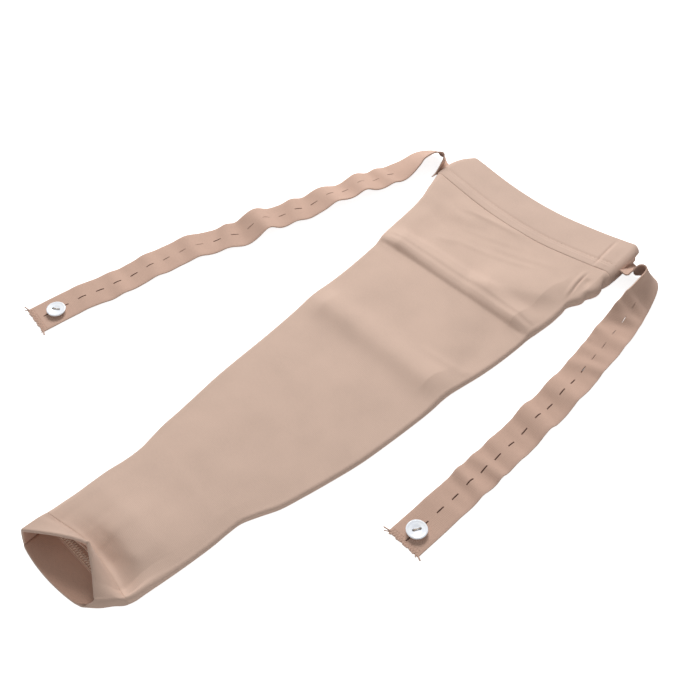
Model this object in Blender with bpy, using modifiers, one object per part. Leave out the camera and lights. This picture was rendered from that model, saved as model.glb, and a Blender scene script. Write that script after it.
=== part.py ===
"""Compression sleeve for the arm, with two buttoned shoulder straps, laid flat on a table.

The sleeve lies along Y, its cuff towards -Y and its top band towards +Y. Z = 0 is the table.
All sizes below are in millimetres and are turned into metres where vertices are made.
"""

import math
from collections import namedtuple

import bmesh
import bpy
from mathutils import Vector

MM = 0.001

# Driving dimensions
KNIT_WALL = 1.2          # one layer of the compression knit
BAND_WALL = 1.8          # a doubled band
STRAP_WIDTH = 20.0
STRAP_WALL = 1.2
SEAM_GAP = 0.7           # between the outer faces of two sewn pieces
HOLE_PITCH = 11.15       # buttonholes along a strap
HOLE_LENGTH = 4.2
HOLE_WIDTH = 0.8
BUTTON_DIAMETER = 11.0
BUTTON_HEIGHT = 2.1
BUTTON_HOLE_DIAMETER = 1.5
BUTTON_HOLE_SPACING = 3.4
BUTTON_TURN_LEFT = 35.0  # way the line of thread holes points, degrees from X
BUTTON_TURN_RIGHT = 62.0

BUTTON_SEAT = 1.75       # underside of a button above the table
BUTTON_STEPS = 28
FIRST_HOLE_LEFT = 5.5    # from a strap's cut end to its first buttonhole
FIRST_HOLE_RIGHT = 2.2
HOLE_FREE_ROOT = 40.0    # no buttonholes this near the top band
STRAP_STEP = 2.8         # longest step between strap sections

BOW_SHARPNESS = 0.7      # of the underside's curve at the cuff mouth; 1 is a plain arch
FOLD_END = 12.0          # a fold fades out over this length at each end
EDGE_FADE = 0.1          # and over this share of the panel's width beside each edge

# Points around one ring of the tube
UNDERSIDE_STEPS = 8
FOLD_STEPS = 4
TOP_STEPS = 16

# One ring of the tube: the underside at y, its left and right edges, how far each fold bulges, the
# top panel's line from the left fold over its crest (or sag) to the right fold, how sharp that
# crest is, how far the middle of the underside bows towards the cuff, and how far its right corner
# is tucked in.
Ring = namedtuple(
    "Ring",
    "y left right bulge_left bulge_right"
    " y_left z_left x_crest y_crest z_crest y_right z_right ridge bow toe",
)


def flat_ring(y, left, right, z_left=4.2, z_crest=5.0, z_right=4.2, skew=0.0):
    """A ring of the flattened tube; skew moves the top panel's right end ahead of its left end."""
    return Ring(
        y, left, right, z_left / 2, z_right / 2,
        y - skew / 2, z_left, (left + right) / 2, y, z_crest, y + skew / 2, z_right, 0.0, 0.0, 0.0,
    )


CUFF_RINGS = [
    Ring(-200.5, -28.0, 25.5, 1.5, 2.4, -198.9, 12.8, 5.2, -181.3, 21.0, -194.0, 5.6, 0.75, 2.6, 4.0),
    Ring(-195.8, -28.6, 29.0, 2.0, 2.6, -194.0, 12.2, 3.8, -180.9, 17.0, -190.4, 5.8, 0.7, 1.6, 2.2),
    Ring(-189.4, -29.2, 32.2, 2.5, 2.6, -189.0, 11.4, 1.6, -180.2, 12.4, -187.4, 6.0, 0.5, 0.6, 0.8),
    Ring(-186.0, -29.6, 34.4, 2.8, 2.4, -186.6, 10.4, -0.6, -179.6, 8.8, -185.8, 6.3, 0.35, 0.0, 0.2),
]
SLEEVE_RINGS = [
    Ring(-181.4, -29.8, 35.8, 2.8, 2.2, -182.2, 9.2, -2.4, -177.9, 7.3, -182.0, 6.4, 0.2, 0.0, 0.0),
    Ring(-175.0, -30.4, 36.4, 2.8, 2.5, -176.0, 7.8, -2.0, -172.8, 7.4, -175.4, 6.2, 0.1, 0.0, 0.0),
    flat_ring(-168.0, -30.8, 37.0, 6.8, 8.4, 5.8),
    flat_ring(-158.0, -31.4, 37.6, 5.8, 9.0, 5.0),
    flat_ring(-148.0, -31.7, 38.0, 5.2, 7.9, 4.4),
    flat_ring(-136.0, -31.0, 38.3, 4.8, 6.2, 4.2),
    flat_ring(-126.0, -31.6, 38.0, 4.4, 5.7, 4.2),
    flat_ring(-119.0, -33.2, 38.2),
    flat_ring(-110.0, -35.2, 41.2),
    flat_ring(-100.0, -36.4, 45.2),
    flat_ring(-86.0, -38.4, 48.2),
    flat_ring(-70.0, -40.8, 51.0),
    flat_ring(-52.0, -42.6, 53.6),
    flat_ring(-34.0, -44.0, 54.8),
    flat_ring(-16.0, -45.8, 55.5),
    flat_ring(-6.0, -47.0, 55.7),
    flat_ring(1.0, -47.8, 55.7, 4.8, 5.0, 4.8),
    flat_ring(8.0, -48.6, 55.4, 5.6, 5.0, 5.6),
    flat_ring(15.0, -49.1, 55.5, 5.4, 5.0, 5.4),
    flat_ring(22.0, -49.4, 56.2, 4.6, 5.0, 4.6),
    flat_ring(34.0, -50.0, 57.8),
    flat_ring(48.0, -51.2, 59.0),
    flat_ring(60.0, -52.6, 59.4),
    flat_ring(69.0, -53.9, 59.4, skew=2.4),
    flat_ring(72.0, -54.6, 59.4, 4.8, 5.0, 4.8, skew=3.6),
    flat_ring(75.0, -55.2, 59.7, 6.2, 5.0, 6.2, skew=4.0),
    flat_ring(79.0, -56.0, 60.1, 6.2, 5.0, 6.4, skew=4.0),
    flat_ring(85.0, -57.4, 60.4, 5.2, 5.0, 5.8, skew=2.4),
    flat_ring(94.0, -58.8, 60.8, 4.8, 5.2, 5.8),
    flat_ring(104.0, -60.2, 60.4, 4.8, 5.4, 6.0),
    flat_ring(112.0, -61.6, 60.6, 5.0, 5.4, 6.4),
    flat_ring(119.0, -63.2, 63.4, 5.6, 5.4, 7.4),
    flat_ring(127.0, -66.0, 65.4, 6.2, 5.4, 8.6),
    Ring(131.2, -67.4, 65.6, 3.4, 4.8, 132.4, 6.8, 0.0, 129.4, 5.4, 133.6, 9.2, 0.0, 0.0, 0.0),
    Ring(135.2, -68.8, 65.8, 3.8, 5.2, 137.0, 7.2, 0.0, 133.0, 5.5, 139.4, 9.8, 0.0, 0.0, 0.0),
]
BAND_RINGS = [
    Ring(140.0, -70.4, 66.2, 4.0, 5.4, 141.8, 7.6, 0.0, 138.0, 5.6, 144.6, 10.2, 0.0, 0.0, 0.0),
    Ring(145.6, -71.2, 66.4, 4.0, 5.4, 147.0, 7.6, 0.0, 143.4, 5.6, 150.0, 10.6, 0.0, 0.0, 0.0),
    Ring(153.2, -71.0, 66.2, 4.0, 5.4, 154.4, 7.4, 0.0, 150.8, 5.6, 157.6, 10.8, 0.0, 0.0, 0.0),
    Ring(161.0, -68.8, 65.8, 4.0, 5.4, 161.9, 7.2, 0.0, 158.4, 5.6, 165.2, 11.0, 0.0, 0.0, 0.0),
    Ring(167.0, -65.0, 65.0, 4.0, 5.4, 167.7, 7.0, 0.0, 164.9, 5.6, 171.3, 11.2, 0.0, 0.0, 0.0),
]

# Folds and soft hollows of the top panel: a roll along a line from (x_from, y_from) to (x_to, y_to),
# its height above the panel (below where negative), its half width on the side behind (to the right
# of the way along) and ahead, and its form: 1 for a kink, 2 for a soft roll, 4 for a pressed fold.
Fold = namedtuple("Fold", "name x_from y_from x_to y_to height behind ahead crisp")
FOLDS = [
    Fold("elbow_fold", -70.0, 76.4, 74.0, 79.2, 2.3, 5.8, 10.0, 4),
    Fold("elbow_rise", -66.0, 82.0, 70.0, 84.0, 0.8, 18.0, 16.0, 2),
    Fold("inner_elbow_ridge", 8.0, 81.0, 66.0, 115.0, 3.0, 8.5, 18.0, 2),
    Fold("forearm_fold", -66.0, 9.0, 72.0, 11.4, 3.2, 9.0, 12.0, 2),
    Fold("left_hollow", -49.0, 80.0, -40.0, 122.0, -1.5, 16.0, 6.5, 2),
    Fold("left_wrinkle", -46.0, 117.0, -14.0, 124.0, 0.7, 5.0, 5.0, 2),
    Fold("band_wrinkle", -46.0, 127.6, 14.0, 135.0, 0.5, 4.0, 4.0, 2),
    Fold("wrist_crease", -42.0, -115.5, 44.0, -126.5, 0.45, 5.0, 20.0, 2),
    Fold("wrist_swell", -44.0, -157.0, 44.0, -152.5, 0.5, 5.0, 18.0, 2),
    Fold("cuff_hollow_left", -42.0, -185.0, 4.0, -178.6, -1.8, 5.0, 12.0, 1),
    Fold("cuff_hollow_right", -8.0, -178.6, 38.0, -185.0, -2.8, 5.0, 13.0, 1),
]

# A strap: centre of its width, and the direction across it (azimuth and tilt in degrees), from its
# root at the top band to its buttoned end.
Station = namedtuple("Station", "x y z across tilt")
STRAP_RIGHT = [
    Station(66.5, 158.6, 5.4, 94.0, -21.0),
    Station(68.6, 157.4, 6.2, 100.0, -21.0),
    Station(69.7, 156.3, 7.0, 107.0, -28.0),
    Station(70.9, 155.8, 8.2, 113.0, -46.0),
    Station(72.4, 156.5, 9.4, 116.0, -60.0),
    Station(74.6, 158.4, 9.8, 113.0, -61.0),
    Station(77.2, 159.7, 9.6, 102.0, -57.0),
    Station(79.6, 159.4, 9.4, 90.0, -52.0),
    Station(81.4, 157.4, 9.0, 77.0, -46.0),
    Station(82.8, 153.9, 8.4, 66.0, -40.0),
    Station(84.0, 149.2, 7.7, 58.0, -35.0),
    Station(85.1, 143.4, 6.8, 50.0, -30.0),
    Station(86.5, 135.5, 5.5, 41.0, -24.0),
    Station(88.0, 126.3, 3.4, 30.0, -15.0),
    Station(89.4, 116.0, 1.8, 19.0, -6.0),
    Station(91.0, 105.1, 1.1, 9.0, -1.0),
    Station(92.6, 92.0, 0.9, 356.0, 0.0),
    Station(94.9, 74.0, 0.8, 354.0, 0.0),
    Station(97.0, 54.0, 0.8, 355.0, 0.0),
    Station(98.0, 36.0, 0.8, 357.0, 0.0),
    Station(98.8, 18.0, 0.8, 358.0, 0.0),
    Station(99.4, 2.0, 0.8, 358.5, 0.0),
    Station(100.0, -18.0, 0.8, 359.0, 0.0),
    Station(100.4, -38.0, 0.8, 359.5, 0.0),
    Station(100.6, -69.2, 0.8, 360.0, 0.0),
]
STRAP_LEFT = [
    Station(-72.3, 148.9, 3.6, 92.0, 0.0),
    Station(-73.9, 150.1, 3.4, 102.0, -5.0),
    Station(-75.6, 151.6, 4.0, 113.0, -14.0),
    Station(-76.6, 153.2, 5.6, 123.0, -28.0),
    Station(-77.2, 153.5, 7.4, 133.0, -40.0),
    Station(-78.6, 153.2, 8.6, 136.0, -45.0),
    Station(-80.9, 153.3, 8.6, 131.0, -40.5),
    Station(-84.0, 152.2, 7.7, 128.0, -36.0),
    Station(-87.0, 149.8, 6.2, 132.0, -31.0),
    Station(-88.6, 145.6, 5.4, 139.0, -27.0),
    Station(-88.8, 140.0, 4.3, 149.0, -20.0),
    Station(-89.2, 132.0, 3.4, 158.0, -13.0),
    Station(-91.2, 121.5, 2.5, 163.0, -7.0),
    Station(-95.4, 103.6, 2.7, 163.0, -9.0),
    Station(-100.2, 86.6, 2.8, 163.0, -10.0),
    Station(-104.8, 68.4, 2.5, 163.0, -8.0),
    Station(-109.4, 53.4, 1.4, 160.0, -2.0),
    Station(-114.6, 35.0, 1.0, 164.0, 0.0),
    Station(-117.4, 17.0, 0.9, 168.0, 0.0),
    Station(-123.6, 1.4, 0.8, 156.0, 0.0),
    Station(-130.9, -16.4, 0.8, 166.0, 0.0),
    Station(-134.3, -40.0, 0.8, 172.0, 0.0),
    Station(-137.4, -66.0, 0.8, 168.0, 0.0),
    Station(-142.6, -90.0, 0.8, 170.0, 0.0),
    Station(-145.4, -115.4, 0.8, 172.0, 0.0),
]

# Waves where the elastic stands off the table: how far each crest is from the cut end, its height
# and half width, and how far it leans along the strap for each mm across.
Wave = namedtuple("Wave", "at height width lean")
WAVES_RIGHT = [
    Wave(29.0, 0.5, 6.0, 0.1),
    Wave(49.0, 1.5, 4.5, -0.15),
    Wave(62.5, 1.3, 3.6, 0.1),
    Wave(76.5, 1.0, 5.0, 0.0),
    Wave(103.0, 2.6, 7.0, -0.1),
    Wave(128.0, 2.2, 8.0, 0.15),
    Wave(152.0, 1.1, 4.5, 0.5),
    Wave(162.0, 0.7, 4.5, 0.2),
    Wave(178.0, 1.3, 5.5, -0.1),
    Wave(197.0, 1.0, 4.0, -0.5),
    Wave(206.5, 1.0, 3.2, -0.6),
]
WAVES_LEFT = [
    Wave(33.0, 0.5, 6.0, 0.1),
    Wave(51.0, 0.6, 6.0, -0.2),
    Wave(74.0, 0.9, 7.0, 0.2),
    Wave(104.0, 0.9, 6.0, -0.1),
    Wave(126.0, 1.6, 6.0, 0.3),
    Wave(148.0, 4.0, 9.0, -0.1),
    Wave(171.0, 1.6, 5.5, 0.2),
    Wave(196.0, 2.6, 8.0, -0.2),
    Wave(219.0, 3.0, 7.0, 0.1),
    Wave(236.5, 1.4, 5.0, -0.2),
    Wave(262.0, 1.0, 7.0, 0.2),
]


def fold_relief(x, y):
    """Height that the folds add to the top panel at (x, y)."""
    total = 0.0
    for fold in FOLDS:
        along_x = fold.x_to - fold.x_from
        along_y = fold.y_to - fold.y_from
        length = math.hypot(along_x, along_y)
        u = ((x - fold.x_from) * along_x + (y - fold.y_from) * along_y) / length
        across = ((x - fold.x_from) * -along_y + (y - fold.y_from) * along_x) / length
        fade = min(1.0, max(0.0, u / FOLD_END), max(0.0, (length - u) / FOLD_END))
        width = fold.ahead if across > 0.0 else fold.behind
        total += fold.height * fade * math.exp(-(abs(across / width) ** fold.crisp))
    return total


def ring_points(ring):
    """The outer loop of a ring, from the left end of the underside round by the right fold."""
    left_in = ring.left + ring.bulge_left
    right_in = ring.right - ring.bulge_right
    points = []
    for i in range(UNDERSIDE_STEPS):
        t = i / UNDERSIDE_STEPS
        y = ring.y - ring.bow * math.sin(math.pi * t) ** BOW_SHARPNESS
        points.append((left_in + (right_in - ring.toe - left_in) * t, y, 0.0))
    for i in range(FOLD_STEPS):
        turn = math.pi * i / FOLD_STEPS
        rise = (1.0 - math.cos(turn)) / 2.0
        x = right_in - ring.toe * (1.0 - rise) + ring.bulge_right * math.sin(turn)
        points.append((x, ring.y + (ring.y_right - ring.y) * rise, ring.z_right * rise))
    crest_at = (right_in - ring.x_crest) / (right_in - left_in)
    half = TOP_STEPS // 2
    for i in range(TOP_STEPS):
        if i < half:
            t = crest_at * i / half
            tent = i / half
        else:
            t = crest_at + (1.0 - crest_at) * (i - half) / half
            tent = 1.0 - (i - half) / half
        arch = math.sin(tent * math.pi / 2.0)
        lift = (1.0 - ring.ridge) * arch + ring.ridge * tent
        base_y = ring.y_right + (ring.y_left - ring.y_right) * t
        base_z = ring.z_right + (ring.z_left - ring.z_right) * t
        crest_y = ring.y_crest - (ring.y_right + (ring.y_left - ring.y_right) * crest_at)
        crest_z = ring.z_crest - (ring.z_right + (ring.z_left - ring.z_right) * crest_at)
        x = right_in + (left_in - right_in) * t
        y = base_y + lift * crest_y
        edge_fade = min(1.0, min(t, 1.0 - t) / EDGE_FADE)
        points.append((x, y, base_z + lift * crest_z + edge_fade * fold_relief(x, y)))
    for i in range(FOLD_STEPS):
        turn = math.pi * i / FOLD_STEPS
        drop = (1.0 + math.cos(turn)) / 2.0
        x = left_in - ring.bulge_left * math.sin(turn)
        points.append((x, ring.y + (ring.y_left - ring.y) * drop, ring.z_left * drop))
    return [Vector(point) for point in points]


def collection_named(name):
    found = bpy.data.collections.new(name)
    bpy.context.scene.collection.children.link(found)
    return found


def principled(name, colour, roughness):
    material = bpy.data.materials.new(name)
    material.use_nodes = True
    shader = material.node_tree.nodes["Principled BSDF"]
    shader.inputs["Base Color"].default_value = (*colour, 1.0)
    shader.inputs["Roughness"].default_value = roughness
    shader.inputs["Metallic"].default_value = 0.0
    return material


def object_from(name, bm, collection, material):
    bmesh.ops.recalc_face_normals(bm, faces=bm.faces)
    mesh = bpy.data.meshes.new(name)
    bm.to_mesh(mesh)
    bm.free()
    mesh.shade_smooth()
    mesh.materials.append(material)
    thing = bpy.data.objects.new(name, mesh)
    collection.objects.link(thing)
    return thing


def thicken(thing, wall, offset):
    """Give an open sheet its cloth thickness: offset -1 inwards, 0 to both sides."""
    modifier = thing.modifiers.new("cloth thickness", "SOLIDIFY")
    modifier.thickness = wall * MM
    modifier.offset = offset
    modifier.use_even_offset = offset < 0.0


def seam(near_loop, far_loop):
    """The two facing edges of a sewn seam, halfway between two rings of the same tube."""
    near_edge = []
    far_edge = []
    for near, far in zip(near_loop, far_loop):
        middle = (near + far) / 2.0
        half_gap = (far - near).normalized() * (SEAM_GAP / 2.0)
        near_edge.append(middle - half_gap)
        far_edge.append(middle + half_gap)
    return near_edge, far_edge


def tube(name, loops, wall, collection, material):
    """A knitted tube lofted through its rings, open at both ends; the loops turn anticlockwise
    seen from the cuff, so its faces look outwards."""
    bm = bmesh.new()
    rings = [[bm.verts.new(point * MM) for point in loop] for loop in loops]
    around = len(rings[0])
    for near, far in zip(rings, rings[1:]):
        for i in range(around):
            j = (i + 1) % around
            bm.faces.new((near[i], far[i], far[j], near[j]))
    mesh = bpy.data.meshes.new(name)
    bm.to_mesh(mesh)
    bm.free()
    mesh.shade_smooth()
    mesh.materials.append(material)
    thing = bpy.data.objects.new(name, mesh)
    collection.objects.link(thing)
    thicken(thing, wall, -1.0)
    return thing


def smooth(values, position):
    """Catmull-Rom through a list of Vectors, at position 0 to len - 1."""
    i = min(int(position), len(values) - 2)
    t = position - i
    before = values[max(i - 1, 0)]
    start = values[i]
    end = values[i + 1]
    after = values[min(i + 2, len(values) - 1)]
    return 0.5 * (
        2.0 * start
        + (end - before) * t
        + (2.0 * before - 5.0 * start + 4.0 * end - after) * t * t
        + (3.0 * start - before - 3.0 * end + after) * t * t * t
    )


def across_of(station):
    azimuth = math.radians(station.across)
    tilt = math.radians(station.tilt)
    level = math.cos(tilt)
    return Vector((level * math.cos(azimuth), level * math.sin(azimuth), math.sin(tilt)))


class Strap:
    """A band of elastic along its stations, measured from its cut end."""

    def __init__(self, stations):
        self.centres = [Vector((s.x, s.y, s.z)) for s in reversed(stations)]
        self.across = [across_of(s) for s in reversed(stations)]
        self.table = [(0.0, 0.0)]
        steps = 40 * (len(stations) - 1)
        last = self.centres[0]
        run = 0.0
        for step in range(1, steps + 1):
            position = step / 40.0
            here = smooth(self.centres, position)
            run += (here - last).length
            self.table.append((run, position))
            last = here
        self.length = run

    def frame(self, run):
        """Centre and unit vector across, at a length along the strap."""
        for (run_a, at_a), (run_b, at_b) in zip(self.table, self.table[1:]):
            if run <= run_b:
                break
        part = (run - run_a) / (run_b - run_a)
        position = at_a + (at_b - at_a) * part
        return smooth(self.centres, position), smooth(self.across, position).normalized()


def wave_height(waves, run, offset):
    """How far the waves lift the elastic, at a length from its cut end and beside its middle."""
    total = 0.0
    for wave in waves:
        away = (run - wave.at - wave.lean * offset) / wave.width
        total += wave.height * math.exp(-away * away)
    return total


def hole_runs(first_hole, length):
    """Start and end of each buttonhole along a strap."""
    runs = []
    start = first_hole
    while start + HOLE_LENGTH < length - HOLE_FREE_ROOT:
        runs.append((start, start + HOLE_LENGTH))
        start += HOLE_PITCH
    return runs


def strap_mesh(name, stations, waves, first_hole, collection, material):
    strap = Strap(stations)
    holes = hole_runs(first_hole, strap.length)
    marks = [0.0]
    for start, end in holes:
        marks += [start, end]
    marks.append(strap.length)
    runs = []
    for low, high in zip(marks, marks[1:]):
        steps = max(1, round((high - low) / STRAP_STEP))
        runs += [low + (high - low) * i / steps for i in range(steps)]
    runs.append(strap.length)
    columns = (-STRAP_WIDTH / 2, -HOLE_WIDTH / 2, HOLE_WIDTH / 2, STRAP_WIDTH / 2)
    bm = bmesh.new()
    rows = []
    for run in runs:
        centre, across = strap.frame(run)
        row = []
        for c in columns:
            lift = Vector((0.0, 0.0, wave_height(waves, run, c)))
            row.append(bm.verts.new((centre + across * c + lift) * MM))
        rows.append(row)
    for i, (near, far) in enumerate(zip(rows, rows[1:])):
        middle = (runs[i] + runs[i + 1]) / 2
        in_hole = any(start < middle < end for start, end in holes)
        for column in range(3):
            if column == 1 and in_hole:
                continue
            bm.faces.new((near[column], near[column + 1], far[column + 1], far[column]))
    thing = object_from(name, bm, collection, material)
    thicken(thing, STRAP_WALL, 0.0)
    return thing


def button(name, x, y, z, turned, collection, cutters, material):
    """A turned two-hole button with a raised rim, its line of holes turned this many degrees."""
    radius = BUTTON_DIAMETER / 2
    profile = [
        (0.0, 1.6), (1.8, 1.6), (2.4, 1.8), (radius - 1.2, 1.85), (radius - 0.8, 2.1),
        (radius - 0.3, 2.1), (radius, 1.5), (radius - 0.3, 0.8), (radius - 1.6, 0.0), (0.0, 0.0),
    ]
    bm = bmesh.new()
    points = [bm.verts.new((r * MM, 0.0, h * MM)) for r, h in profile]
    for a, b in zip(points, points[1:]):
        bm.edges.new((a, b))
    mesh = bpy.data.meshes.new(name)
    bm.to_mesh(mesh)
    bm.free()
    mesh.materials.append(material)
    thing = bpy.data.objects.new(name, mesh)
    collection.objects.link(thing)
    thing.location = Vector((x, y, z)) * MM
    turn = thing.modifiers.new("turned", "SCREW")
    turn.axis = "Z"
    turn.steps = BUTTON_STEPS
    turn.render_steps = BUTTON_STEPS
    turn.use_merge_vertices = True
    turn.merge_threshold = 0.00001
    for side in (-1, 1):
        bpy.ops.mesh.primitive_cylinder_add(
            vertices=12, radius=BUTTON_HOLE_DIAMETER / 2 * MM, depth=4 * BUTTON_HEIGHT * MM
        )
        cutter = bpy.context.object
        cutter.name = f"{name}_hole_{'left' if side < 0 else 'right'}"
        for old in list(cutter.users_collection):
            old.objects.unlink(cutter)
        cutters.objects.link(cutter)
        reach = side * BUTTON_HOLE_SPACING / 2
        way = Vector((math.cos(math.radians(turned)), math.sin(math.radians(turned)), 0.0))
        cutter.location = (Vector((x, y, z)) + reach * way) * MM
        cutter.hide_render = True
        cutter.display_type = "WIRE"
        cut = thing.modifiers.new("thread hole", "BOOLEAN")
        cut.operation = "DIFFERENCE"
        cut.object = cutter
    return thing


def main():
    for thing in list(bpy.data.objects):
        bpy.data.objects.remove(thing, do_unlink=True)
    sleeve = collection_named("elbow compression sleeve")
    cutters = collection_named("cutters")
    knit = principled("beige knit", (0.64, 0.46, 0.37), 0.9)
    band = principled("beige knit, doubled", (0.66, 0.48, 0.39), 0.9)
    elastic = principled("beige elastic", (0.60, 0.42, 0.34), 0.88)
    shell = principled("white button", (0.85, 0.87, 0.92), 0.25)
    cuff_loops = [ring_points(ring) for ring in CUFF_RINGS]
    body_loops = [ring_points(ring) for ring in SLEEVE_RINGS]
    band_loops = [ring_points(ring) for ring in BAND_RINGS]
    cuff_edge, wrist_edge = seam(cuff_loops[-1], body_loops[0])
    arm_edge, band_edge = seam(body_loops[-1], band_loops[0])
    tube("cuff_band", cuff_loops + [cuff_edge], BAND_WALL, sleeve, band)
    tube("sleeve_body", [wrist_edge] + body_loops + [arm_edge], KNIT_WALL, sleeve, knit)
    tube("top_band", [band_edge] + band_loops, BAND_WALL, sleeve, band)
    strap_mesh("strap_left", STRAP_LEFT, WAVES_LEFT, FIRST_HOLE_LEFT, sleeve, elastic)
    strap_mesh("strap_right", STRAP_RIGHT, WAVES_RIGHT, FIRST_HOLE_RIGHT, sleeve, elastic)
    for name, x, y, turned in (
        ("button_left", -142.9, -102.6, BUTTON_TURN_LEFT),
        ("button_right", 100.6, -59.8, BUTTON_TURN_RIGHT),
    ):
        button(name, x, y, BUTTON_SEAT, turned, sleeve, cutters, shell)


main()
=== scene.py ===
"""Looks of the compression sleeve: knitted tube, doubled bands, buttonholed elastic straps, buttons.

The sleeve lies along Y, its cuff towards -Y and its top band towards +Y, on the floor at Z = 0.
Lengths are in millimetres, and are turned into metres where vertices are made.
"""

import math
import random
from collections import namedtuple

import bpy
import numpy as np
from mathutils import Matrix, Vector


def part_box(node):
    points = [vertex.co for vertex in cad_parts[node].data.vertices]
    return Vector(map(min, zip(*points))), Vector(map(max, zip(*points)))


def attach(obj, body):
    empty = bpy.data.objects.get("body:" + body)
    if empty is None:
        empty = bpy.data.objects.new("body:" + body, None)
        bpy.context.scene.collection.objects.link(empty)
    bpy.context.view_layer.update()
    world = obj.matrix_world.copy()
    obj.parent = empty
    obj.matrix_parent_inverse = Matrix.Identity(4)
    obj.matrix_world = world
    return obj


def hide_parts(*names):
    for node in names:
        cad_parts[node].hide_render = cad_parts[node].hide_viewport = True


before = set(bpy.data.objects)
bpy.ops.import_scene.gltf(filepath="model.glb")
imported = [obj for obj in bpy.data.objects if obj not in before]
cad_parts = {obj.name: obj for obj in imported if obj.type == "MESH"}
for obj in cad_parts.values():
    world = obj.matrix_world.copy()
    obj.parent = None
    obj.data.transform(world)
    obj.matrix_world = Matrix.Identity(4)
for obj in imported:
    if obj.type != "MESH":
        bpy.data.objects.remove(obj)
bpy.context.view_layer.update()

MM = 0.001
BODY = "root"

# Driving dimensions
KNIT_WALL = 1.2
BAND_WALL = 1.8
STRAP_WIDTH = 20.0
HOLE_PITCH = 11.15
HOLE_LENGTH = 4.2
FIRST_HOLE_LEFT = 5.5
FIRST_HOLE_RIGHT = 2.2
HOLE_FREE_ROOT = 40.0
BUTTON_HOLE_SPACING = 3.4
BUTTON_TURN_LEFT = 35.0  # way the line of thread holes points, degrees from X
BUTTON_TURN_RIGHT = 62.0
BUTTON_HOLE_RADIUS = 0.75
BUTTON_BED = 1.58        # top face of a button inside its rim, above its underside
BUTTON_STEPS = 72        # faces round a button
BUTTON_SHARP = 40.0      # degrees; sharper edges than this stay sharp
BOW_SHARPNESS = 0.7      # of the underside's curve at the cuff mouth; 1 is a plain arch
FOLD_END = 12.0          # a fold fades out over this length at each end
CREASE_END = 14.0        # and a long crease over this
EDGE_FADE = 0.1          # and over this share of the panel's width beside each edge
FINE_EDGE_FADE = 0.03    # the same for fine creases and seams
ELASTIC_WALL = 0.85      # the strap's edge as seen; its solid is a little thicker
ELASTIC_BEVEL = 0.22
BEVEL_ANGLE = 60.0       # degrees; sharper edges than this are bevelled
WAVE_GAIN = 1.5          # the elastic's waves, against those of its solid
COCKLE_HEIGHT = 0.06     # of each of the small uneven waves along a strap
COCKLES = 7
COCKLE_SHORTEST = 8.0
COCKLE_LONGEST = 20.0
COCKLE_LEAN = 0.35
COCKLE_END = 22.0        # none this near the cut end, which is pressed flat by its button
COCKLE_ROOT = 45.0       # nor this near the root
COCKLE_FADE = 10.0
SLIT_WIDTH = 0.14        # a buttonhole lies nearly closed
SLIT_SHUT = 0.04         # half width of its ends
RIB_GAP = 0.08           # half width of the groove in line with the buttonholes
SLIT_SHADE_REACH = 0.38         # half width of the shade painted along a buttonhole
LIP_HEIGHT = 0.14        # of a buttonhole's raised edges
LIP_WIDTH = 1.1
TONGUE = 3.0             # strap sewn inside the band, past its root
ALLOWANCE_LOW = -187.0   # ring place of the free edge of the trimmed cloth inside the cuff seam
ALLOWANCE_WIDTH = 5.0
ALLOWANCE_WALL = 0.8
OVERLOCK_STITCH = 2.6
OVERLOCK_LOOP = 1.5
OVERLOCK_NEEDLE = 0.5    # how far its needle line, and its loops' ends, are from the free edge
OVERLOCK_EDGE = 0.9
OVERLOCK_INNER = 3.8
THREAD_RADIUS = 0.15
OVERLOCK_RADIUS = 1.2 * THREAD_RADIUS
CAP_LENGTH = 0.6         # of a thread's rounded ends, and their width, against its radius
CAP_WIDTH = 0.45
END_STITCH_DEPTH = 2.4   # how far the binding of a cut end reaches along the strap
END_STITCH_STEP = 0.75
END_STITCH_RADIUS = 0.95 * THREAD_RADIUS
STITCH_LENGTH = 2.1
STITCH_GAP = 0.7
BAND_STITCH_ROW = 145.3  # ring place of the topstitching above the band seam
BAND_STITCH_DIP = 0.3    # the groove that it pulls in
BAND_STITCH_REACH = 1.0
BAND_WELT_ROW = 142.4    # upper edge of the raised strip beside the band seam
BAND_WELT = 0.35

# Fineness of the meshes
UNDERSIDE_COLUMNS = 26
FOLD_COLUMNS = 14
FINE_SHARE = 0.16        # of the top panel's width, on the right, where the side seam runs
FINE_COLUMNS = 42
PLAIN_COLUMNS = 64
RING_STEP = 1.0
STRAP_STEP = 1.4
STRAP_COLUMNS = 8        # points on each side of the buttonholes
STRAP_BUNCHING = 1.3     # above 1, they lie closer beside the buttonholes than at the edges

# Colours and cloths. A cloth's stitch is wale wide and course long, in mm. Relief is how deep it looks,
# grain how speckled it is and sheen how much its fibres catch the light.
KNIT_COLOUR = (0.65, 0.472, 0.38)
BAND_COLOUR = (0.625, 0.455, 0.369)
CUFF_COLOUR = (0.565, 0.405, 0.325)
INSIDE_COLOUR = (0.57, 0.355, 0.266)
ELASTIC_COLOUR = (0.59, 0.397, 0.31)
# painted shade: a darker copy of the elastic's colour for the strap's back face, standing for its unlit
# side
ELASTIC_BACK_SHADED_COLOUR = (0.43, 0.255, 0.19)
# painted shade: the dark colour painted along each buttonhole, standing for the shadow inside it
SLIT_SHADE_COLOUR = (0.13, 0.065, 0.045)
PALE_THREAD_COLOUR = (0.86, 0.67, 0.54)
THREAD_COLOUR = (0.70, 0.51, 0.41)
TAN_COLOUR = (0.60, 0.50, 0.41)
Cloth = namedtuple("Cloth", "wale course relief grain sheen")
KNIT = Cloth(0.9, 0.8, 0.22, 0.3, 0.15)
ELASTIC = Cloth(1.1, 0.9, 0.35, 0.35, 0.1)
INNER_FACE = Cloth(0.9, 0.8, 0.5, 0.5, 0.1)
STITCH_DEPTH = 0.15
PEARL_COLOUR = (0.93, 0.95, 0.98)
PEARL_CLOUD_COLOUR = (0.84, 0.88, 0.96)
FLOOR_COLOUR = (0.82, 0.82, 0.82)

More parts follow.
